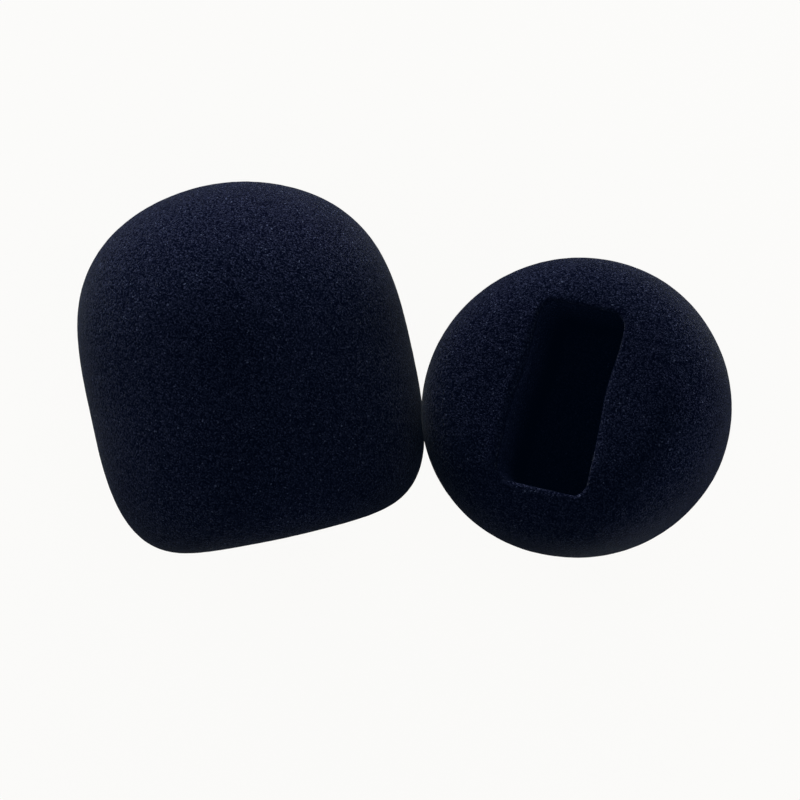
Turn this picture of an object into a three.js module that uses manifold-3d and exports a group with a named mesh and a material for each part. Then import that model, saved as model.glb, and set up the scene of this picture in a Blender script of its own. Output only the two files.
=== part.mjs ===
// A pair of foam microphone shields, each with a slot for the microphone in its base.
// One lies on its flank, and the other stands on its dome beside it, with its slot up.
// Lengths are in millimetres and angles in degrees. +Z is up, +X runs from the lying
// shield to the standing one, and the origin is on the table, under the pair's middle.

import * as THREE from "three";
import { mergeVertices } from "three/addons/utils/BufferGeometryUtils.js";
import Module from "manifold-3d";

// The lying shield, which is round
const lyingDiameter = 94.8;
const lyingHeight = 103.5;
const lyingBeltHeight = 42.8; // of its widest place, from the base
const lyingTurn = 12; // of the way its dome points, from +Y towards -X
const lyingDomeDrift = 1.4; // of the top of its dome, aside towards -X

// The standing shield, which is ground smaller and a little oval
const standingLongDiameter = 87.4;
const standingShortDiameter = 83.6;
const standingHeight = 93.5;
const standingBeltHeight = 38.7;
const standingOvalTurn = 51; // from the slot's long side to the long diameter
const standingTurn = 76.4; // from +X to the slot's long side, seen from above
const standingLeanAside = 11.4; // of its dome end towards +X
const standingLeanForward = 5.7; // of its dome end towards -Y
const standingForwardPlace = 14.45; // of its belt, in front of the lying one's middle

// The ground outline: a power of 2 gives an arc, and a larger one a squarer turn
const domeFlankPower = 3.44;
const domeCrownPower = 1.9;
const baseFlankPower = 2.79;
const baseFootPower = 5.4;

// The slot that the microphone slides into, the same in both shields
const slotLength = 50;
const slotWidth = 23.5;
const slotDepth = 60;
const slotCornerRadius = 2.2;
const slotLipRadius = 1.8; // of the worn edge round the mouth
const slotLipSweep = 62; // of the worn edge's arc, from the wall to the base
const slotEndFillet = 2; // between the walls and the closed end

// How the foam sits
const tableFlatDepth = 0.4; // pressed flat where it rests on the table
const contactGap = 0.8; // between the two shields at their nearest points
const cutOverrun = 3; // of every cutting shape past what it cuts

// Fineness of the surfaces
const turnedSegments = 56;
const baseRings = 16;
const domeRings = 16;
const cornerSegments = 5;
const lipSteps = 4;
const filletSteps = 3;
const slidePasses = 12;

const rightAngle = 90;
const halfTurn = 180;
const radians = THREE.MathUtils.degToRad;
const kernel = await Module();
kernel.setup();

const lyingForm = {
  radiusX: lyingDiameter / 2,
  radiusY: lyingDiameter / 2,
  height: lyingHeight,
  beltHeight: lyingBeltHeight,
  ovalTurn: 0,
  domeDrift: lyingDomeDrift,
};

const standingForm = {
  radiusX: standingLongDiameter / 2,
  radiusY: standingShortDiameter / 2,
  height: standingHeight,
  beltHeight: standingBeltHeight,
  ovalTurn: standingOvalTurn,
  domeDrift: 0,
};

// A closed geometry as a solid that can be cut.
function toSolid(geometry) {
  const bare = geometry.clone();
  bare.deleteAttribute("normal");
  bare.deleteAttribute("uv");
  const merged = mergeVertices(bare);
  return new kernel.Manifold(
    new kernel.Mesh({
      numProp: 3,
      vertProperties: merged.attributes.position.array,
      triVerts: new Uint32Array(merged.index.array),
    }),
  );
}

function toGeometry(solid) {
  const { vertProperties, triVerts } = solid.getMesh();
  const geometry = new THREE.BufferGeometry();
  geometry.setAttribute("position", new THREE.BufferAttribute(vertProperties, 3));
  geometry.setIndex(new THREE.BufferAttribute(triVerts, 1));
  geometry.computeVertexNormals();
  return geometry;
}

// The outline's radius, as a share of the belt's, at a share of the way from the belt to an end.
function radiusShare(wayShare, wayPower, radiusPower) {
  return Math.max(1 - wayShare ** wayPower, 0) ** (1 / radiusPower);
}

// The same curve the other way round.
function wayShareAt(share, wayPower, radiusPower) {
  return Math.max(1 - share ** radiusPower, 0) ** (1 / wayPower);
}

function radiusShareAtHeight(form, height) {
  if (height < form.beltHeight) {
    const wayShare = (form.beltHeight - height) / form.beltHeight;
    return radiusShare(wayShare, baseFlankPower, baseFootPower);
  }
  const wayShare = (height - form.beltHeight) / (form.height - form.beltHeight);
  return radiusShare(wayShare, domeFlankPower, domeCrownPower);
}

// How far the rounded base has risen at a place in its plane.
function baseRise(form, x, y) {
  const turned = new THREE.Vector2(x, y).rotateAround(new THREE.Vector2(), -radians(form.ovalTurn));
  const share = Math.hypot(turned.x / form.radiusX, turned.y / form.radiusY);
  return form.beltHeight * (1 - wayShareAt(share, baseFlankPower, baseFootPower));
}

// The outline from the middle of the base, round the foot and flank, to the top of the dome,
// with its radius as a share of the belt's.
function outlinePoints(form) {
  const points = [];
  for (let ring = baseRings; ring > 0; ring--) {
    const wayShare = Math.sin(radians((rightAngle * ring) / baseRings)) ** (2 / baseFlankPower);
    const radius = ring === baseRings ? 0 : radiusShare(wayShare, baseFlankPower, baseFootPower);
    points.push(new THREE.Vector2(radius, form.beltHeight * (1 - wayShare)));
  }
  for (let ring = 0; ring <= domeRings; ring++) {
    const wayShare = Math.sin(radians((rightAngle * ring) / domeRings)) ** (2 / domeFlankPower);
    const radius = ring === domeRings ? 0 : radiusShare(wayShare, domeFlankPower, domeCrownPower);
    const height = form.beltHeight + (form.height - form.beltHeight) * wayShare;
    points.push(new THREE.Vector2(radius, height));
  }
  return points;
}

// Moves a dome aside towards -X, more and more from the belt to its top.
function driftDome(geometry, form) {
  const position = geometry.getAttribute("position");
  for (let i = 0; i < position.count; i++) {
    const wayShare = (position.getZ(i) - form.beltHeight) / (form.height - form.beltHeight);
    const drift = form.domeDrift * Math.max(wayShare, 0) ** 2;
    position.setX(i, position.getX(i) - drift);
  }
}

// The uncut foam: the outline turned about the axis, with the base at 0 and the dome up.
function foamBlank(form) {
  const geometry = new THREE.LatheGeometry(outlinePoints(form), turnedSegments);
  geometry.rotateX(radians(rightAngle));
  geometry.scale(form.radiusX, form.radiusY, 1);
  geometry.rotateZ(radians(form.ovalTurn));
  driftDome(geometry, form);
  return geometry;
}

// One level of the slot: a rectangle with round corners, grown on every side by a margin.
function slotSection(margin) {
  const halfLength = slotLength / 2 + margin;
  const halfWidth = slotWidth / 2 + margin;
  const corner = slotCornerRadius + margin;
  const shape = new THREE.Shape();
  for (let quarter = 0; quarter < 4; quarter++) {
    const sideX = quarter === 0 || quarter === 3 ? 1 : -1;
    const sideY = quarter < 2 ? 1 : -1;
    const start = radians(rightAngle * quarter);
    const x = sideX * (halfLength - corner);
    const y = sideY * (halfWidth - corner);
    shape.absarc(x, y, corner, start, start + radians(rightAngle), false);
  }
  return cornerPoints(shape);
}

// The points of a shape's arcs, without the straight runs that join them.
function cornerPoints(shape) {
  const arcs = shape.curves.filter((curve) => curve.isEllipseCurve);
  return arcs.flatMap((arc) => arc.getPoints(cornerSegments));
}

// The levels of the slot from outside its mouth to its closed end.
// The worn lip follows the rounded base, so its levels rise with it.
function slotLevels(form) {
  const levels = [];
  const addLevel = (margin, height, followsBase) => {
    const ring = slotSection(margin).map(({ x, y }) => {
      const rise = followsBase ? baseRise(form, x, y) : 0;
      return new THREE.Vector3(x, y, height + rise);
    });
    levels.push(ring);
  };
  const sweep = radians(slotLipSweep);
  const edgeMargin = slotLipRadius * (1 - Math.cos(sweep));
  const edgeHeight = slotLipRadius * (1 - Math.sin(sweep));
  const outerMargin = edgeMargin + cutOverrun * Math.sin(sweep);
  addLevel(outerMargin, -cutOverrun, false);
  addLevel(outerMargin, edgeHeight - cutOverrun * Math.cos(sweep), true);
  for (let step = lipSteps; step >= 0; step--) {
    const angle = (sweep * step) / lipSteps;
    const margin = slotLipRadius * (1 - Math.cos(angle));
    addLevel(margin, slotLipRadius * (1 - Math.sin(angle)), true);
  }
  for (let step = 0; step <= filletSteps; step++) {
    const angle = radians((rightAngle * step) / filletSteps);
    const margin = -slotEndFillet * (1 - Math.cos(angle));
    addLevel(margin, slotDepth - slotEndFillet * (1 - Math.sin(angle)), false);
  }
  return levels;
}

// A closed skin through rings of as many points each, flat at both ends.
function loft(rings) {
  const count = rings[0].length;
  const indices = [];
  for (let level = 0; level + 1 < rings.length; level++) {
    for (let i = 0; i < count; i++) {
      const a = level * count + i;
      const b = level * count + ((i + 1) % count);
      indices.push(a, b, a + count, b, b + count, a + count);
    }
  }
  const last = (rings.length - 1) * count;
  for (let i = 1; i + 1 < count; i++) {
    indices.push(0, i + 1, i);
    indices.push(last, last + i, last + i + 1);
  }
  const geometry = new THREE.BufferGeometry().setFromPoints(rings.flat());
  geometry.setIndex(indices);
  return geometry;
}

// A slab in the shield's own frame, whose top is the plane that the foam is pressed flat on.
function tableSlab(mesh, form) {
  const side = 2 * (form.height + form.radiusX);
  const slab = new THREE.BoxGeometry(side, side, side);
  const { x, y } = mesh.getWorldPosition(new THREE.Vector3());
  slab.translate(x, y, -side / 2);
  slab.applyMatrix4(mesh.matrixWorld.clone().invert());
  return slab;
}

function worldPoints(mesh) {
  const position = mesh.geometry.getAttribute("position");
  const points = [];
  for (let i = 0; i < position.count; i++) {
    points.push(new THREE.Vector3().fromBufferAttribute(position, i).applyMatrix4(mesh.matrixWorld));
  }
  return points;
}

// Lowers a shield until the table presses its lowest foam flat.
function setOnTable(holder, mesh) {
  holder.updateMatrixWorld(true);
  const lowest = Math.min(...worldPoints(mesh).map((point) => point.z));
  holder.position.z -= lowest + tableFlatDepth;
  holder.updateMatrixWorld(true);
}

// Slides the standing shield along X until the gap between the two is the contact gap.
function slideTogether(lyingMesh, standingHolder, standingMesh) {
  for (let pass = 0; pass < slidePasses; pass++) {
    const gaps = worldPoints(standingMesh).map((point) => {
      const local = lyingMesh.worldToLocal(point);
      const inReach = local.z > 0 && local.z < lyingHeight;
      const radius = inReach ? lyingForm.radiusX * radiusShareAtHeight(lyingForm, local.z) : 0;
      return Math.hypot(local.x, local.y) - radius;
    });
    standingHolder.position.x -= Math.min(...gaps) - contactGap;
    standingHolder.updateMatrixWorld(true);
  }
}

// Cuts the slot and the flat on the table out of the foam.
function finishFoam(mesh, form) {
  const blank = toSolid(mesh.geometry);
  const slot = toSolid(loft(slotLevels(form)));
  const table = toSolid(tableSlab(mesh, form));
  mesh.geometry = toGeometry(blank.subtract(slot).subtract(table));
}

function foamShield(name, form, colour) {
  const material = new THREE.MeshStandardMaterial({ color: colour, roughness: 1, metalness: 0 });
  material.name = name + "_foam";
  const mesh = new THREE.Mesh(foamBlank(form), material);
  mesh.name = name;
  return mesh;
}

// On its flank, with the slot's long side level.
function lyingShield() {
  const mesh = foamShield("lying_foam_shield", lyingForm, "#0b0f1b");
  mesh.rotation.x = -radians(rightAngle);
  mesh.position.y = -lyingHeight / 2;
  const holder = new THREE.Group();
  holder.rotation.z = radians(lyingTurn);
  holder.add(mesh);
  return { holder, mesh };
}

// On its dome, with the slot up, leaning a little aside and forward.
function standingShield() {
  const mesh = foamShield("standing_foam_shield", standingForm, "#111727");
  mesh.rotation.x = radians(halfTurn);
  mesh.position.z = standingBeltHeight;
  const holder = new THREE.Group();
  holder.rotation.set(
    -radians(standingLeanForward),
    -radians(standingLeanAside),
    radians(standingTurn),
  );
  holder.position.set(lyingDiameter, -standingForwardPlace, 0);
  holder.add(mesh);
  return { holder, mesh };
}

function shieldPair() {
  const lying = lyingShield();
  const standing = standingShield();
  setOnTable(lying.holder, lying.mesh);
  setOnTable(standing.holder, standing.mesh);
  slideTogether(lying.mesh, standing.holder, standing.mesh);
  finishFoam(lying.mesh, lyingForm);
  finishFoam(standing.mesh, standingForm);

  const pair = new THREE.Group();
  pair.add(lying.holder, standing.holder);
  const middle = new THREE.Box3().setFromObject(pair, true).getCenter(new THREE.Vector3());
  for (const { holder } of [lying, standing]) {
    holder.position.x -= middle.x;
    holder.position.y -= middle.y;
  }
  return pair;
}

export default shieldPair();
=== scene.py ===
"""Two foam microphone shields with a slot in the base, one on its flank and one on its dome."""

import math

import bpy
from mathutils import Euler, Matrix, Vector


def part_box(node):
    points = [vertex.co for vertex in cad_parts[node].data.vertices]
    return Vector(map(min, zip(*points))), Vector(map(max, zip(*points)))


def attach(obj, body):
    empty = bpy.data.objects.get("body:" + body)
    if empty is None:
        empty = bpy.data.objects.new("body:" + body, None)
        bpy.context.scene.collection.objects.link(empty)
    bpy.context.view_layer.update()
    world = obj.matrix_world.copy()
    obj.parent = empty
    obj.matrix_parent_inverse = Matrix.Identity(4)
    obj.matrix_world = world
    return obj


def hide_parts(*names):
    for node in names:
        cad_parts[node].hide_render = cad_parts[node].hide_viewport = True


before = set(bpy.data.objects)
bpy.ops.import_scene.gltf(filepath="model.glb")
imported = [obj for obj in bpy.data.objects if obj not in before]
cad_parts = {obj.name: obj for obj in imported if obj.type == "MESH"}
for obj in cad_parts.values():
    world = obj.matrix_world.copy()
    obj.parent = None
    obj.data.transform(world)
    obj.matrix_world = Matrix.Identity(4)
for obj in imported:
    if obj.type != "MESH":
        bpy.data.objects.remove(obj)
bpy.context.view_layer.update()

bl_info = {
    "name": "Foam microphone shields",
    "version": (1, 0, 0),
    "blender": (4, 5, 0),
    "location": "3D View > Sidebar > Foam shields",
    "description": "Models two slotted foam microphone shields and the stage they are shown on",
    "category": "Object",
}

MM = 0.001
HAIR = MM / 100
QUARTER_TURN = math.pi / 2
MIXED_COLOURS = (6, 7)
MIX_RESULT = 2
BODY = "root"
SLOT_DEPTH = "slot_depth"
LYING_NODE = "lying_foam_shield"
STANDING_NODE = "standing_foam_shield"


def length(name, description, millimetres):
    """A length that a user can set, in metres, from its size in millimetres."""
    return bpy.props.FloatProperty(
        name=name,
        description=description,
        default=millimetres * MM,
        precision=5,
        subtype="DISTANCE",
        unit="LENGTH",
    )


def turn(name, description, degrees):
    """An angle that a user can set, from its size in degrees."""
    return bpy.props.FloatProperty(
        name=name,
        description=description,
        default=math.radians(degrees),
        subtype="ANGLE",
        unit="ROTATION",
    )


def amount(name, description, value):
    """A plain number that a user can set."""
    return bpy.props.FloatProperty(name=name, description=description, default=value)


def count(name, description, value):
    """A whole number that a user can set."""
    return bpy.props.IntProperty(name=name, description=description, default=value)


def colour(name, description, red, green, blue):
    """A colour that a user can set, in linear light."""
    return bpy.props.FloatVectorProperty(
        name=name,
        description=description,
        default=(red, green, blue),
        size=3,
        min=0,
        max=1,
        subtype="COLOR",
    )


class OutlineSizes(bpy.types.PropertyGroup):
    """The ground outline that both shields share."""

    dome_flank: amount("Dome flank power", "How long the flank stays straight above the belt", 3.44)
    dome_crown: amount("Dome crown power", "2 rounds the dome as an arc", 1.9)
    base_flank: amount("Base flank power", "How long the flank stays straight below the belt", 2.79)
    base_foot: amount("Base foot power", "How squarely the foot turns into the base", 5.4)
    rings: count("Rings", "Points of the outline from the belt to either end", 36)
    segments: count("Segments", "Steps of the turned outline", 144)


class LyingSizes(bpy.types.PropertyGroup):
    """The shield that lies on its flank."""

    long_diameter: length("Diameter", "Across the belt", 94.8)
    short_diameter: length("Short diameter", "Across the belt, the other way", 94.8)
    height: length("Height", "From the base to the top of the dome", 103.5)
    belt_height: length("Belt height", "From the base to the widest place", 42.8)
    oval_turn: turn("Oval turn", "From the slot's long side to the long diameter", 0)
    heading: turn("Heading", "Which way the dome points, from +Y towards -X", 12)
    dome_drift: length("Dome drift", "Of the top of the dome, aside towards -X", 1.4)
    lip_rise: length("Lip rise", "Of the slot's lip where the blade dragged it", 0)


class StandingSizes(bpy.types.PropertyGroup):
    """The shield that stands on its dome."""

    long_diameter: length("Long diameter", "Across the belt, the long way", 87.4)
    short_diameter: length("Short diameter", "Across the belt, the short way", 83.6)
    height: length("Height", "From the base to the top of the dome", 93.5)
    belt_height: length("Belt height", "From the base to the widest place", 38.7)
    oval_turn: turn("Oval turn", "From the slot's long side to the long diameter", 51)
    slot_turn: turn("Slot turn", "From +X to the slot's long side, seen from above", 76.4)
    lean_aside: turn("Lean aside", "Of the dome end towards +X", 11.4)
    lean_forward: turn("Lean forward", "Of the dome end towards -Y", 5.7)
    dome_drift: length("Dome drift", "Of the top of the dome, aside", 0)
    lip_rise: length("Lip rise", "Of the slot's lip where the blade dragged it", 0.3)


class SlotSizes(bpy.types.PropertyGroup):
    """The slot for the microphone, the same in both shields."""

    length: length("Length", "Along the slot's mouth", 50)
    width: length("Width", "Across the slot's mouth", 23.5)
    depth: length("Depth", "From the base to the closed end", 60)
    corner_radius: length("Corner radius", "Between neighbouring walls", 0.7)
    lip_radius: length("Lip radius", "Of the worn edge round the mouth", 1.3)
    end_fillet: length("End fillet", "Between the walls and the closed end", 2)
    overrun: length("Overrun", "Of the cutting shape past the base", 3)
    lip_reach: length("Lip reach", "How far round it the lip's rise is felt", 2.6)
    bulge: length("Bulge", "Of one long wall's middle, into the slot", 1)
    bulge_reach: length("Bulge reach", "How far round it the bulge is felt", 12)
    small_bulge: length("Small bulge", "Of the same wall's lower half, into the slot", 0.4)
    small_bulge_reach: length("Small bulge reach", "How far round it the small bulge is felt", 8)
    hollow: length("Hollow", "Of the other long wall's lower half, out of the slot", 1.9)
    hollow_reach: length("Hollow reach", "How far round it the hollow is felt", 20)
    uneven_size: length("Unevenness size", "Across one wave of the hand-cut walls", 17)
    uneven_depth: length("Unevenness", "Of the hand-cut walls", 0.5)
    uneven_fade: length("Unevenness fade", "From the mouth outwards", 4)
    corner_segments: count("Corner segments", "Steps of each round corner", 8)
    lip_steps: count("Lip steps", "Steps of the worn edge", 8)


class FoamSizes(bpy.types.PropertyGroup):
    """How finely the foam is modelled, and how unevenly it is ground."""

    voxel: length("Voxel", "Of the remesh that makes the skin even", 0.77)
    smoothing: count("Smoothing", "Passes that soften the remeshed skin", 3)
    wave_size: length("Wave size", "Across the broad unevenness of the grinding", 26)
    wave_depth: length("Wave depth", "Of the broad unevenness", 0.3)
    nap_size: length("Nap size", "Across the small tufts of the skin", 2.2)
    nap_depth: length("Nap depth", "Of the small tufts", 0.08)


class FoamFinish(bpy.types.PropertyGroup):
    """The foam's colours and grain."""

    pore_colour: colour("Pores", "Between the foam's struts", 0.0005, 0.0006, 0.0022)
    strut_colour: colour("Struts", "Of the foam's struts, where light catches them", 0.0138, 0.0166, 0.0345)
    # Painted glints: a few random cells are painted bright, standing in for struts that catch the light.
    painted_glint_colour: colour("Specks", "Of the few struts that face the light", 0.021, 0.026, 0.045)
    # Painted light: the lying shield's foam is the standing one's foam made lighter, standing in for the
    # light it gets.
    lying_painted_light: amount("Lying brightness", "Of the lying shield's foam by the other's", 1.15)
    # Painted light and shade in the slot: its walls are painted lighter just below the lip, where light
    # reaches in, and darker again towards the closed end, where shade falls.
    painted_wall_light: amount("Cut brightness", "Of the slot's deep walls by the ground skin", 2.9)
    painted_lip_level: amount("Lip brightness", "Of the slot's lip by the ground skin", 0.9)
    painted_light_begins: length("Lip depth", "Where the cut walls begin to be lighter", 0.8)
    painted_light_full: length("Wall depth", "Where the cut walls have their full brightness", 5)
    painted_shade_begins: length("Fading depth", "Where the slot's walls begin to darken again", 18)
    painted_shade_full: length("End depth", "Where the slot's walls are at their darkest", 45)
    painted_shade_end_share: amount("End share", "Of the walls' brightness left at the closed end", 0.3)
    sheen_tint: colour("Sheen tint", "Of the soft light along the edges", 0.88, 0.97, 1.0)
    cell: length("Cell", "Across one foam cell", 0.5)
    cell_relief: length("Cell relief", "Depth of the cells", 0.2)
    cell_bend: amount("Cell bend", "How far the rows of cells wander, in cells", 2)
    cell_bend_scale: amount("Cell bend scale", "Bends to a cell", 0.6)
    strut_edge: amount("Strut edge", "From a cell's core to where its strut fades out, in cells", 0.72)
    strut_core: amount("Strut core", "From a cell's core to where its strut is full, in cells", 0.2)
    fibre_scale: amount("Fibre scale", "Fibres to a cell", 2.6)
    fibre_contrast: amount("Fibre contrast", "Of the fibres on the struts", 1.6)
    fibre_level: amount("Fibre level", "Of the darkest fibre", -0.1)
    tone_power: amount("Tone power", "Above 1 there are more dark struts than light ones", 2)
    dark_strut: amount("Dark strut", "Brightness of the darkest strut by the lightest", 0.35)
    speck_share: amount("Speck share", "How many of the cells are specks", 0.012)
    sheen: amount("Sheen", "Soft light along the edges", 0.027)
    sheen_roughness: amount("Sheen roughness", "How far the soft light spreads", 0.3)
    roughness: amount("Roughness", "Of the foam's struts", 1)
    shine: amount("Shine", "Specular level of the struts", 0)
    # Painted glow: a faint constant blue emission all over the foam, which lifts its darkest places, though
    # the foam gives no light.
    painted_glow_tint: colour("Depth tint", "Of the light scattered in the foam's depths", 0, 0.3, 1)
    painted_glow_level: amount("Depth level", "Of the light scattered in the foam's depths", 0.003)


class StageSizes(bpy.types.PropertyGroup):
    """The floor, the lamps and the camera."""

    floor_side: length("Floor side", "Of the square floor", 6000)
    floor_colour: colour("Floor", "Of the pale floor", 0.5, 0.5, 0.5)
    seen_colour: colour("Seen floor", "Of floor and world as the camera sees them", 1.0, 0.996, 0.982)
    shadow_share: amount("Shadow share", "How much of the floor's own shading the camera sees", 0.06)
    overhead_level: amount("Overhead level", "Of the sky's light from above", 1.5)
    overhead_low: amount("Overhead edge", "Sine of the angle where the light from above begins", 0.65)
    overhead_high: amount("Overhead core", "Sine of the angle where it is at its full level", 0.95)
    lamp_reach: length("Lamp reach", "From the object to each lamp, along the floor", 1600)
    lamp_length: length("Lamp length", "Of each lamp, along the floor", 1000)
    strip_height: length("Strip height", "Of the middle of each strip lamp above the floor", 62)
    strip_width: length("Strip width", "Of each strip lamp, up and down", 110)
    softbox_height: length("Softbox height", "Of the middle of each square lamp above the floor", 650)
    right_strip: amount("Right strip", "Power in watts", 42)
    right_strip_at: turn("Right strip at", "Round from +X", 0)
    back_strip: amount("Back strip", "Power in watts", 88)
    back_strip_at: turn("Back strip at", "Round from +X", 103.5)
    back_left_strip: amount("Back left strip", "Power in watts", 9)
    back_left_strip_at: turn("Back left strip at", "Round from +X", 135)
    left_strip: amount("Left strip", "Power in watts", 24)
    left_strip_at: turn("Left strip at", "Round from +X", 180)
    back_right_softbox: amount("Back right softbox", "Power in watts", 16)
    back_right_softbox_at: turn("Back right softbox at", "Round from +X", 72)
    front_softbox: amount("Front softbox", "Power in watts", 8)
    front_softbox_at: turn("Front softbox at", "Round from +X", 297)
    camera_height: length("Camera height", "Above the floor", 600)
    camera_aside: length("Camera aside", "Of the object's middle", -1.9)
    camera_back: length("Camera back", "Of the object's middle", -8.5)
    camera_near: length("Camera near", "The nearest that the camera sees", 30)
    camera_far: length("Camera far", "The furthest that the camera sees", 24000)
    sensor: length("Sensor", "Width of the camera's sensor", 36)
    lens: length("Lens", "Focal length of the camera", 85.59)


SIZE_GROUPS = {
    "foam_outline": OutlineSizes,
    "foam_lying": LyingSizes,
    "foam_standing": StandingSizes,
    "foam_slot": SlotSizes,
    "foam_skin": FoamSizes,
    "foam_finish": FoamFinish,
    "foam_stage": StageSizes,
}


# Selecting and editing


def make_active(piece):
    """Selects one piece alone."""
    bpy.ops.object.select_all(action="DESELECT")
    piece.select_set(True)
    bpy.context.view_layer.objects.active = piece


def edit(piece):
    """Opens a piece in edit mode, with vertices to select and nothing selected."""
    make_active(piece)
    bpy.ops.object.mode_set(mode="EDIT")
    bpy.ops.mesh.select_mode(type="VERT")
    bpy.ops.mesh.select_all(action="DESELECT")


def done():
    """Leaves edit mode."""
    bpy.ops.object.mode_set(mode="OBJECT")


def select_where(piece, test):
    """Opens a piece in edit mode with the vertices selected whose place passes a test."""
    edit(piece)
    done()
    for vertex in piece.data.vertices:
        vertex.select = test(vertex.co)
    bpy.ops.object.mode_set(mode="EDIT")


def apply_modifier(piece, modifier):
    """Puts a modifier's effect into the mesh."""
    make_active(piece)
    bpy.ops.object.modifier_apply(modifier=modifier.name)


def bake_place(piece):
    """Puts a piece's place and turn into its mesh."""
    make_active(piece)
    bpy.ops.object.transform_apply(location=True, rotation=True, scale=True)


def new_square(name, side):
    """A flat square, centred on the origin."""
    bpy.ops.object.select_all(action="DESELECT")
    bpy.ops.mesh.primitive_plane_add(size=side, location=(0, 0, 0))
    piece = bpy.context.object
    piece.name = piece.data.name = name
    return piece


# The foam's shape


def outline_points(sizes, outline):
    """(radius share, height) from the middle of the base, round the foot and flank, to the dome's top."""
    points = []
    for ring in range(outline.rings, 0, -1):
        angle = QUARTER_TURN * ring / outline.rings
        share = math.cos(angle) ** (2 / outline.base_foot) if ring < outline.rings else 0
        way = math.sin(angle) ** (2 / outline.base_flank)
        points.append((share, sizes.belt_height * (1 - way)))
    for ring in range(outline.rings + 1):
        angle = QUARTER_TURN * ring / outline.rings
        share = math.cos(angle) ** (2 / outline.dome_crown) if ring < outline.rings else 0
        way = math.sin(angle) ** (2 / outline.dome_flank)
        points.append((share, sizes.belt_height + (sizes.height - sizes.belt_height) * way))
    return points


def base_rise(sizes, outline, place):
    """How far the crowned base has curved up from its middle, over or under a place."""
    share = math.hypot(place.x, place.y) / (sizes.short_diameter / 2)
    way = (1 - min(share, 1) ** outline.base_foot) ** (1 / outline.base_flank)
    return sizes.belt_height * (1 - way)


def turned_foam(name, sizes, outline):
    """The uncut foam, spun from its outline, with its base at the origin and its dome up."""
    piece = new_square(name, sizes.height)
    edit(piece)
    bpy.ops.mesh.select_all(action="SELECT")
    bpy.ops.mesh.merge(type="CENTER")
    points = outline_points(sizes, outline)
    radius = sizes.long_diameter / 2
    for (share, height), (next_share, next_height) in zip(points, points[1:]):
        step = ((next_share - share) * radius, 0, next_height - height)
        bpy.ops.mesh.extrude_region_move(TRANSFORM_OT_translate={"value": step})
    bpy.ops.mesh.select_all(action="SELECT")
    bpy.ops.mesh.spin(
        steps=outline.segments, angle=4 * QUARTER_TURN, center=(0, 0, 0), axis=(0, 0, 1)
    )
    bpy.ops.mesh.select_all(action="SELECT")
    bpy.ops.mesh.remove_doubles(threshold=HAIR)
    oval = (1, sizes.short_diameter / sizes.long_diameter, 1)
    bpy.ops.transform.resize(value=oval, center_override=(0, 0, 0))
    bpy.ops.mesh.normals_make_consistent(inside=False)
    done()
    piece.rotation_euler.z = sizes.oval_turn
    bake_place(piece)
    drift_dome(piece, sizes, [height for share, height in points[outline.rings + 1:]])
    return piece


def drift_dome(piece, sizes, heights):
    """Moves the rings of the dome aside, more and more from the belt to its top."""
    if not sizes.dome_drift:
        return
    for height in heights:
        way = (height - sizes.belt_height) / (sizes.height - sizes.belt_height)
        select_where(piece, lambda place: abs(place.z - height) < HAIR)
        bpy.ops.transform.translate(value=(-sizes.dome_drift * way ** 2, 0, 0))
        done()


def slot_levels(slot):
    """(margin, height) of each level of the slot, from outside its mouth to its closed end."""
    levels = [(slot.lip_radius + slot.overrun, -slot.overrun)]
    for step in range(slot.lip_steps, -1, -1):
        angle = QUARTER_TURN * step / slot.lip_steps
        margin = slot.lip_radius * (1 - math.cos(angle))
        levels.append((margin, slot.lip_radius * (1 - math.sin(angle))))
    for step in range(slot.lip_steps + 1):
        angle = QUARTER_TURN * step / slot.lip_steps
        margin = -slot.end_fillet * (1 - math.cos(angle))
        levels.append((margin, slot.depth - slot.end_fillet * (1 - math.sin(angle))))
    return levels


def slot_shape(slot):
    """The space of the slot: a rectangle with round corners, extruded level by level."""
    levels = slot_levels(slot)
    margin, height = levels[0]
    piece = new_square("slot_shape", 1)
    edit(piece)
    bpy.ops.mesh.select_all(action="SELECT")
    section = (slot.length + 2 * margin, slot.width + 2 * margin, 1)
    bpy.ops.transform.resize(value=section, center_override=(0, 0, 0))
    bpy.ops.transform.translate(value=(0, 0, height))
    bpy.ops.mesh.bevel(
        affect="VERTICES", offset=slot.corner_radius + margin, segments=slot.corner_segments
    )
    bpy.ops.mesh.select_mode(type="FACE")
    bpy.ops.mesh.select_all(action="SELECT")
    for next_margin, next_height in levels[1:]:
        rise = (0, 0, next_height - height)
        bpy.ops.mesh.extrude_region_move(TRANSFORM_OT_translate={"value": rise})
        grow = (
            (slot.length + 2 * next_margin) / (slot.length + 2 * margin),
            (slot.width + 2 * next_margin) / (slot.width + 2 * margin),
            1,
        )
        bpy.ops.transform.resize(value=grow, center_override=(0, 0, next_height))
        margin, height = next_margin, next_height
    bpy.ops.mesh.select_all(action="SELECT")
    bpy.ops.mesh.normals_make_consistent(inside=False)
    done()
    return piece


def cut_slot(piece, slot):
    """Cuts the slot into the base."""
    cutter = slot_shape(slot)
    boolean = piece.modifiers.new("slot", "BOOLEAN")
    boolean.operation = "DIFFERENCE"
    boolean.solver = "EXACT"
    boolean.object = cutter
    apply_modifier(piece, boolean)
    bpy.data.objects.remove(cutter)


def even_skin(piece, skin):
    """Gives the foam a skin of small even faces, with its cut edges softened."""
    remesh = piece.modifiers.new("even", "REMESH")
    remesh.mode = "VOXEL"
    remesh.voxel_size = skin.voxel
    apply_modifier(piece, remesh)
    smooth = piece.modifiers.new("soften", "SMOOTH")
    smooth.iterations = skin.smoothing
    apply_modifier(piece, smooth)


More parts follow.
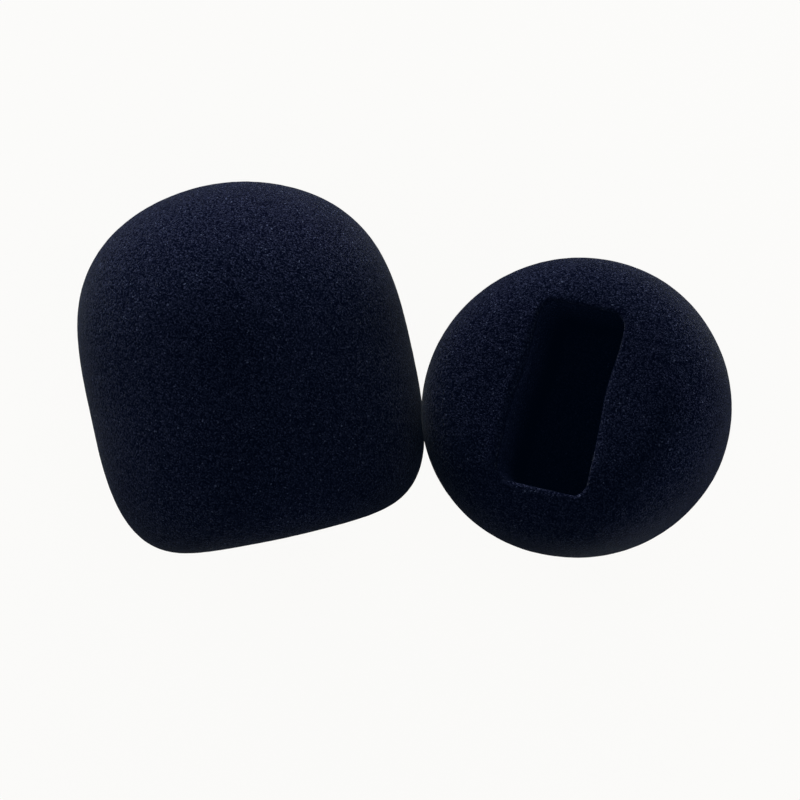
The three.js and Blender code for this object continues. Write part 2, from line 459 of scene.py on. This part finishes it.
def ground_unevenness(piece, name, size, depth, group=""):
    """Moves the skin in and out by a clouded pattern, as grinding by hand leaves it."""
    texture = bpy.data.textures.new(name, "CLOUDS")
    texture.noise_scale = size
    texture.noise_depth = 1
    displace = piece.modifiers.new(name, "DISPLACE")
    displace.texture = texture
    displace.texture_coords = "LOCAL"
    displace.strength = depth
    displace.mid_level = 0.5
    displace.vertex_group = group
    apply_modifier(piece, displace)


def pull(piece, spans, shift, reach):
    """Pulls the foam within a span of each axis, in millimetres, and the foam round it less and less."""

    def within(place):
        return all(low <= part / MM <= high for part, (low, high) in zip(place, spans))

    select_where(piece, within)
    bpy.ops.transform.translate(
        value=shift,
        use_proportional_edit=True,
        proportional_edit_falloff="SMOOTH",
        proportional_size=reach,
    )
    done()


def uneven_cut(piece, slot, lip_rise):
    """Raises the lip where the blade dragged it, and lets the walls wander as in soft foam."""
    at_lip = (-1, 1)
    all_depth = (-1, slot.depth / MM)
    left_lip = (-14.2, -12.9)
    lower_lip = (-27.6, -26.3)
    left_wall = (-12.6, -11)
    right_wall = (11, 12.6)
    outwards = lip_rise / 2
    pull(piece, ((-26, 22), left_lip, at_lip), (0, -outwards, -lip_rise), slot.lip_reach)
    pull(piece, (lower_lip, (-13, 10), at_lip), (-outwards, 0, -lip_rise), slot.lip_reach)
    pull(piece, ((2, 6), right_wall, all_depth), (0, -slot.bulge, 0), slot.bulge_reach)
    pull(piece, ((-20, -8), right_wall, all_depth), (0, -slot.small_bulge, 0), slot.small_bulge_reach)
    pull(piece, ((-25, -8), left_wall, all_depth), (0, -slot.hollow, 0), slot.hollow_reach)
    group = piece.vertex_groups.new(name="slot_walls")
    for vertex in piece.data.vertices:
        place = vertex.co
        outside = max(abs(place.x) - slot.length / 2, abs(place.y) - slot.width / 2, 0)
        if place.z < slot.depth + slot.uneven_fade and outside < slot.uneven_fade:
            group.add([vertex.index], 1 - outside / slot.uneven_fade, "REPLACE")
    ground_unevenness(piece, "cut_waves", slot.uneven_size, slot.uneven_depth, group.name)
    piece.vertex_groups.clear()


def shift_to_node(piece, way, node):
    """How far a piece moves, once turned, to be centred on its CAD node and level with its top."""
    low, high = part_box(node)
    points = [way @ vertex.co for vertex in piece.data.vertices]
    own_low = Vector(min(point[axis] for point in points) for axis in range(3))
    own_high = Vector(max(point[axis] for point in points) for axis in range(3))
    shift = (low + high - own_low - own_high) / 2
    shift.z = high.z - own_high.z
    return shift


def press_on_table(piece):
    """Flattens what reaches below the table onto it."""
    select_where(piece, lambda place: place.z < 0)
    bpy.ops.transform.resize(value=(1, 1, 0), center_override=(0, 0, 0))
    done()


def paint_slot(piece, sizes, ground, cut):
    """Gives the ground skin one material and the cut slot another, and notes how deep each place is, which
    sets the slot walls' painted light and shade.
    """
    slot = bpy.context.scene.foam_slot
    outline = bpy.context.scene.foam_outline
    piece.data.materials.clear()
    piece.data.materials.append(ground)
    piece.data.materials.append(cut)

    skin_ends = slot.lip_radius / 3
    foam_ends = slot.depth + slot.lip_radius

    def depth_at(place):
        return place.z - base_rise(sizes, outline, place)

    def in_slot(place):
        along = abs(place.x) < slot.length / 2 + slot.lip_radius
        across = abs(place.y) < slot.width / 2 + slot.lip_radius
        return along and across and skin_ends < depth_at(place) < foam_ends

    depths = piece.data.attributes.new(SLOT_DEPTH, "FLOAT", "POINT")
    for vertex, depth in zip(piece.data.vertices, depths.data):
        depth.value = depth_at(vertex.co) if in_slot(vertex.co) else 0

    select_where(piece, in_slot)
    piece.active_material_index = 1
    bpy.ops.object.material_slot_assign()
    done()


def shape_foam(name, sizes, ground, cut, way, node):
    """One shield from its sizes, turned by a matrix and moved to its CAD node."""
    scene = bpy.context.scene
    skin = scene.foam_skin
    piece = turned_foam(name, sizes, scene.foam_outline)
    cut_slot(piece, scene.foam_slot)
    even_skin(piece, skin)
    paint_slot(piece, sizes, ground, cut)
    shift = shift_to_node(piece, way, node)
    uneven_cut(piece, scene.foam_slot, sizes.lip_rise)
    piece.rotation_euler = way.to_euler()
    piece.location = shift
    bake_place(piece)
    ground_unevenness(piece, "grinding_waves", skin.wave_size, skin.wave_depth)
    ground_unevenness(piece, "nap_tufts", skin.nap_size, skin.nap_depth)
    press_on_table(piece)
    make_active(piece)
    bpy.ops.object.shade_smooth()
    return piece


def hand_over(piece, node):
    """Puts a finished piece under the body and hides the CAD part that it stands in for."""
    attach(piece, BODY)
    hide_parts(node)


# The foam's finish


def add_node(tree, kind, x, y, **settings):
    """A node of a kind at a place in the node editor, with its settings."""
    node = tree.nodes.new(kind)
    node.location = (x, y)
    for key, value in settings.items():
        setattr(node, key, value)
    return node


def maths(tree, x, y, operation, first, second, third=None, clamp=False):
    """A Math node whose inputs are sockets or numbers."""
    node = add_node(tree, "ShaderNodeMath", x, y, operation=operation, use_clamp=clamp)
    for socket, value in zip(node.inputs, (first, second, third)):
        if isinstance(value, bpy.types.NodeSocket):
            tree.links.new(value, socket)
        elif value is not None:
            socket.default_value = value
    return node.outputs[0]


def smooth_step(tree, x, y, value, given, made):
    """Takes a value softly from one span to another."""
    node = add_node(tree, "ShaderNodeMapRange", x, y, interpolation_type="SMOOTHSTEP")
    tree.links.new(value, node.inputs["Value"])
    node.inputs["From Min"].default_value, node.inputs["From Max"].default_value = given
    node.inputs["To Min"].default_value, node.inputs["To Max"].default_value = made
    return node.outputs["Result"]


def foam_cells_group(finish):
    """The open cells of foam: struts round dark pores, with a few bright specks painted as glints."""
    name = "foam_cells"
    if name in bpy.data.node_groups:
        return bpy.data.node_groups[name]
    tree = bpy.data.node_groups.new(name, "ShaderNodeTree")
    vector = tree.interface.new_socket("Vector", in_out="INPUT", socket_type="NodeSocketVector")
    vector.description = "Place on the foam, in metres"
    for label, value in (("Cell", finish.cell), ("Speck share", finish.speck_share)):
        socket = tree.interface.new_socket(label, in_out="INPUT", socket_type="NodeSocketFloat")
        socket.default_value = value
    for label in ("Struts", "Specks", "Height"):
        tree.interface.new_socket(label, in_out="OUTPUT", socket_type="NodeSocketFloat")
    inside = add_node(tree, "NodeGroupInput", -1200, 0)
    outside = add_node(tree, "NodeGroupOutput", 900, 0)
    links = tree.links

    scale = maths(tree, -1000, -200, "DIVIDE", 1, inside.outputs["Cell"])
    in_cells = add_node(tree, "ShaderNodeVectorMath", -800, 0, operation="SCALE")
    links.new(inside.outputs["Vector"], in_cells.inputs[0])
    links.new(scale, in_cells.inputs["Scale"])

    wander = add_node(tree, "ShaderNodeTexNoise", -900, -350, noise_dimensions="3D")
    wander.inputs["Scale"].default_value = finish.cell_bend_scale
    wander.inputs["Detail"].default_value = 1
    links.new(in_cells.outputs[0], wander.inputs["Vector"])
    bent = add_node(tree, "ShaderNodeVectorMath", -700, 100, operation="MULTIPLY_ADD")
    bent.inputs[1].default_value = (finish.cell_bend, finish.cell_bend, finish.cell_bend)
    links.new(wander.outputs["Color"], bent.inputs[0])
    links.new(in_cells.outputs[0], bent.inputs[2])
    cells = add_node(
        tree, "ShaderNodeTexVoronoi", -500, 100, voronoi_dimensions="3D", feature="F1"
    )
    cells.inputs["Scale"].default_value = 1
    links.new(bent.outputs[0], cells.inputs["Vector"])
    fine = add_node(tree, "ShaderNodeTexNoise", -500, -300, noise_dimensions="3D")
    fine.inputs["Scale"].default_value = finish.fibre_scale
    fine.inputs["Detail"].default_value = 1
    links.new(in_cells.outputs[0], fine.inputs["Vector"])

    reach = (finish.strut_edge, finish.strut_core)
    tip = smooth_step(tree, -250, 200, cells.outputs["Distance"], reach, (0, 1))
    channels = add_node(tree, "ShaderNodeSeparateColor", -250, -50)
    links.new(cells.outputs["Color"], channels.inputs[0])
    tone = maths(tree, 0, -50, "POWER", channels.outputs[0], finish.tone_power)
    contrast, level = finish.fibre_contrast, finish.fibre_level
    fibre = maths(
        tree, -250, -300, "MULTIPLY_ADD", fine.outputs["Fac"], contrast, level, clamp=True
    )
    dark = finish.dark_strut
    lit = maths(tree, 200, -50, "MULTIPLY_ADD", tone, 1 - dark, dark)
    shaded = maths(tree, 400, -50, "MULTIPLY", lit, fibre)
    struts = maths(tree, 600, 50, "MULTIPLY", tip, shaded)

    # Painted glints: the few cells whose random colour passes a limit become bright specks.
    limit = maths(tree, 0, -250, "SUBTRACT", 1, inside.outputs["Speck share"])
    chosen = maths(tree, 200, -250, "GREATER_THAN", channels.outputs[1], limit)
    specks = maths(tree, 600, -200, "MULTIPLY", chosen, tip)
    height = maths(tree, 600, 250, "MULTIPLY", tip, lit)
    links.new(struts, outside.inputs["Struts"])
    links.new(specks, outside.inputs["Specks"])
    links.new(height, outside.inputs["Height"])
    return tree


def mix_colours(tree, x, y, factor, first, second):
    """A colour mix of sockets or colours by a mask."""
    node = add_node(tree, "ShaderNodeMix", x, y, data_type="RGBA")
    tree.links.new(factor, node.inputs["Factor"])
    for index, value in zip(MIXED_COLOURS, (first, second)):
        if isinstance(value, bpy.types.NodeSocket):
            tree.links.new(value, node.inputs[index])
        else:
            node.inputs[index].default_value = (*value, 1)
    return node.outputs[MIX_RESULT]


def foam_material(name, finish, brightness, sheen, painted_lip_level=1, deep_painted_light=1):
    """Dark open-cell foam: its brightness (painted light on the lying shield), its sheen, and painted light
    and shade on the slot's walls by their depth.
    """
    material = bpy.data.materials.new(name)
    material.use_nodes = True
    tree = material.node_tree
    tree.nodes.clear()
    output = add_node(tree, "ShaderNodeOutputMaterial", 900, 0)
    shader = add_node(tree, "ShaderNodeBsdfPrincipled", 600, 0)
    tree.links.new(shader.outputs[0], output.inputs["Surface"])
    place = add_node(tree, "ShaderNodeTexCoord", -900, 0)
    cells = add_node(tree, "ShaderNodeGroup", -400, 0, node_tree=foam_cells_group(finish))
    tree.links.new(place.outputs["Object"], cells.inputs["Vector"])
    cells.inputs["Cell"].default_value = finish.cell
    cells.inputs["Speck share"].default_value = finish.speck_share

    pore, strut, speck = (
        tuple(channel * brightness for channel in tint)
        for tint in (finish.pore_colour, finish.strut_colour, finish.painted_glint_colour)
    )
    foam = mix_colours(tree, -100, 200, cells.outputs["Struts"], pore, strut)
    # Painted glints: bright specks on a few random cells.
    flecked = mix_colours(tree, 150, 200, cells.outputs["Specks"], foam, speck)
    # Painted light and shade: the slot's walls are painted lighter below the lip and darker again towards
    # the closed end.
    depth = add_node(tree, "ShaderNodeAttribute", -400, 450, attribute_name=SLOT_DEPTH)
    walls = smooth_step(
        tree, -200, 450, depth.outputs["Fac"],
        (finish.painted_light_begins, finish.painted_light_full), (painted_lip_level, deep_painted_light),
    )
    closed_end = smooth_step(
        tree, -200, 700, depth.outputs["Fac"],
        (finish.painted_shade_begins, finish.painted_shade_full), (1, finish.painted_shade_end_share),
    )
    lit = add_node(tree, "ShaderNodeVectorMath", 350, 250, operation="SCALE")
    tree.links.new(flecked, lit.inputs[0])
    tree.links.new(maths(tree, 50, 550, "MULTIPLY", walls, closed_end), lit.inputs["Scale"])
    tree.links.new(lit.outputs[0], shader.inputs["Base Color"])

    bump = add_node(tree, "ShaderNodeBump", 300, -250)
    bump.inputs["Strength"].default_value = 1
    bump.inputs["Distance"].default_value = finish.cell_relief
    tree.links.new(cells.outputs["Height"], bump.inputs["Height"])
    tree.links.new(bump.outputs["Normal"], shader.inputs["Normal"])

    shader.inputs["Roughness"].default_value = finish.roughness
    shader.inputs["Specular IOR Level"].default_value = finish.shine
    shader.inputs["Sheen Weight"].default_value = sheen
    shader.inputs["Sheen Roughness"].default_value = finish.sheen_roughness
    shader.inputs["Sheen Tint"].default_value = (*finish.sheen_tint, 1)
    # Painted glow: a faint constant blue emission on the foam.
    shader.inputs["Emission Color"].default_value = (*finish.painted_glow_tint, 1)
    shader.inputs["Emission Strength"].default_value = finish.painted_glow_level
    return material


def cut_foam_material(name, finish):
    """The foam of the slot's cut walls, without the sheen of the ground skin, and with painted light and
    shade by depth.
    """
    return foam_material(name, finish, 1, 0, finish.painted_lip_level, finish.painted_wall_light)


class FOAM_OT_lying_shield(bpy.types.Operator):
    """Model the shield that lies on its flank"""

    bl_idname = "foam.lying_shield"
    bl_label = "Lying shield"

    def execute(self, context):
        finish = context.scene.foam_finish
        sizes = context.scene.foam_lying
        # The lying shield's foam is painted lighter than the standing one's: painted light.
        ground = foam_material("lying_foam", finish, finish.lying_painted_light, finish.sheen)
        cut = cut_foam_material("lying_cut_foam", finish)
        way = Euler((-QUARTER_TURN, 0, sizes.heading)).to_matrix()
        piece = shape_foam("lying_shield_foam", sizes, ground, cut, way, LYING_NODE)
        hand_over(piece, LYING_NODE)
        return {"FINISHED"}


class FOAM_OT_standing_shield(bpy.types.Operator):
    """Model the shield that stands on its dome"""

    bl_idname = "foam.standing_shield"
    bl_label = "Standing shield"

    def execute(self, context):
        finish = context.scene.foam_finish
        sizes = context.scene.foam_standing
        ground = foam_material("standing_foam", finish, 1, finish.sheen)
        cut = cut_foam_material("standing_cut_foam", finish)
        lean = Euler((-sizes.lean_forward, -sizes.lean_aside, sizes.slot_turn), "ZYX").to_matrix()
        way = lean @ Matrix.Rotation(2 * QUARTER_TURN, 3, "X")
        piece = shape_foam("standing_shield_foam", sizes, ground, cut, way, STANDING_NODE)
        hand_over(piece, STANDING_NODE)
        return {"FINISHED"}


# The stage


def seen_masks(tree, x, y):
    """Two masks: the camera's rays, and those with the rays of glossy and clear surfaces."""
    path = add_node(tree, "ShaderNodeLightPath", x, y)
    camera = path.outputs["Is Camera Ray"]
    glossy = path.outputs["Is Glossy Ray"]
    clear = path.outputs["Is Transmission Ray"]
    mirrored = maths(tree, x + 200, y, "MAXIMUM", glossy, clear)
    return camera, maths(tree, x + 400, y, "MAXIMUM", camera, mirrored)


def floor_material(stage):
    """A pale floor that the camera sees as near white, with the object's shadow left in it."""
    material = bpy.data.materials.new("pale_floor")
    material.use_nodes = True
    tree = material.node_tree
    tree.nodes.clear()
    output = add_node(tree, "ShaderNodeOutputMaterial", 900, 0)
    own = add_node(tree, "ShaderNodeBsdfDiffuse", 0, -150)
    own.inputs["Color"].default_value = (*stage.floor_colour, 1)
    pale = add_node(tree, "ShaderNodeEmission", 0, 150)
    pale.inputs["Color"].default_value = (*stage.seen_colour, 1)
    camera, seen = seen_masks(tree, -700, 300)
    share = maths(tree, 0, 350, "MULTIPLY", seen, 1 - stage.shadow_share)
    mixed = add_node(tree, "ShaderNodeMixShader", 300, 0)
    tree.links.new(share, mixed.inputs[0])
    tree.links.new(own.outputs[0], mixed.inputs[1])
    tree.links.new(pale.outputs[0], mixed.inputs[2])

    under = add_node(tree, "ShaderNodeNewGeometry", 0, -350)
    from_below = maths(tree, 300, -350, "MULTIPLY", under.outputs["Backfacing"], camera)
    clear = add_node(tree, "ShaderNodeBsdfTransparent", 300, -200)
    final = add_node(tree, "ShaderNodeMixShader", 600, 0)
    tree.links.new(from_below, final.inputs[0])
    tree.links.new(mixed.outputs[0], final.inputs[1])
    tree.links.new(clear.outputs[0], final.inputs[2])
    tree.links.new(final.outputs[0], output.inputs["Surface"])
    return material


def set_world(stage):
    """Light from above, and the seen floor's colour wherever the camera looks past the floor."""
    world = bpy.data.worlds.new("studio")
    bpy.context.scene.world = world
    world.use_nodes = True
    tree = world.node_tree
    tree.nodes.clear()
    output = add_node(tree, "ShaderNodeOutputWorld", 600, 0)
    light = add_node(tree, "ShaderNodeBackground", 0, -150)
    place = add_node(tree, "ShaderNodeTexCoord", -900, -200)
    direction = add_node(tree, "ShaderNodeSeparateXYZ", -700, -200)
    tree.links.new(place.outputs["Generated"], direction.inputs[0])
    core = (stage.overhead_low, stage.overhead_high)
    levels = (0, stage.overhead_level)
    overhead = smooth_step(tree, -500, -200, direction.outputs["Z"], core, levels)
    tree.links.new(overhead, light.inputs["Strength"])
    pale = add_node(tree, "ShaderNodeBackground", 0, 150)
    pale.inputs["Color"].default_value = (*stage.seen_colour, 1)
    seen = seen_masks(tree, -700, 300)[1]
    mixed = add_node(tree, "ShaderNodeMixShader", 300, 0)
    tree.links.new(seen, mixed.inputs[0])
    tree.links.new(light.outputs[0], mixed.inputs[1])
    tree.links.new(pale.outputs[0], mixed.inputs[2])
    tree.links.new(mixed.outputs[0], output.inputs["Surface"])


def add_lamp(stage, name, height, width):
    """A lamp beside the object, facing it and not seen itself, with its own power and heading."""
    heading = getattr(stage, name + "_at")
    place = (stage.lamp_reach * math.cos(heading), stage.lamp_reach * math.sin(heading), height)
    bpy.ops.object.select_all(action="DESELECT")
    bpy.ops.object.light_add(type="AREA", location=place)
    lamp = bpy.context.object
    lamp.name = lamp.data.name = name
    lamp.data.shape = "RECTANGLE"
    lamp.data.size = stage.lamp_length
    lamp.data.size_y = width
    lamp.data.energy = getattr(stage, name)
    lamp.visible_camera = False
    aim = Vector((0, 0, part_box(LYING_NODE)[1].z / 2)) - Vector(place)
    lamp.rotation_euler = aim.to_track_quat("-Z", "Y").to_euler()


def add_lamps(stage):
    """Strips just above the floor light the foam's flanks, and square lamps its upper sides."""
    for name in ("right_strip", "back_strip", "back_left_strip", "left_strip"):
        add_lamp(stage, name, stage.strip_height, stage.strip_width)
    for name in ("back_right_softbox", "front_softbox"):
        add_lamp(stage, name, stage.softbox_height, stage.lamp_length)


def add_camera(stage):
    """The photograph's camera, straight above the table."""
    bpy.ops.object.select_all(action="DESELECT")
    place = (stage.camera_aside, stage.camera_back, stage.camera_height)
    bpy.ops.object.camera_add(location=place, rotation=(0, 0, 0))
    camera = bpy.context.object
    camera.name = camera.data.name = "camera"
    camera.data.sensor_width = stage.sensor / MM
    camera.data.lens = stage.lens / MM
    camera.data.clip_start = stage.camera_near
    camera.data.clip_end = stage.camera_far
    bpy.context.scene.camera = camera


class FOAM_OT_stage(bpy.types.Operator):
    """Make the floor, the lamps and the camera"""

    bl_idname = "foam.stage"
    bl_label = "Stage"

    def execute(self, context):
        stage = context.scene.foam_stage
        floor = new_square("pale_floor", stage.floor_side)
        floor.data.materials.append(floor_material(stage))
        set_world(stage)
        add_lamps(stage)
        add_camera(stage)
        context.scene.view_settings.view_transform = "Standard"
        return {"FINISHED"}


class FOAM_PT_shields(bpy.types.Panel):
    """Lists the pieces of the two shields and their stage"""

    bl_idname = "FOAM_PT_shields"
    bl_label = "Foam shields"
    bl_space_type = "VIEW_3D"
    bl_region_type = "UI"
    bl_category = "Foam shields"

    def draw(self, context):
        for operator in OPERATORS:
            self.layout.operator(operator.bl_idname)


OPERATORS = (FOAM_OT_stage, FOAM_OT_lying_shield, FOAM_OT_standing_shield)
CLASSES = (*SIZE_GROUPS.values(), *OPERATORS, FOAM_PT_shields)


def register():
    """Adds the sizes, the operators and the panel to Blender."""
    for made in CLASSES:
        bpy.utils.register_class(made)
    for name, group in SIZE_GROUPS.items():
        setattr(bpy.types.Scene, name, bpy.props.PointerProperty(type=group))


def unregister():
    """Takes them out again."""
    for name in SIZE_GROUPS:
        delattr(bpy.types.Scene, name)
    for made in reversed(CLASSES):
        bpy.utils.unregister_class(made)


def main():
    """Makes the stage and both shields."""
    register()
    bpy.ops.foam.stage()
    bpy.ops.foam.lying_shield()
    bpy.ops.foam.standing_shield()


if __name__ == "__main__":
    main()
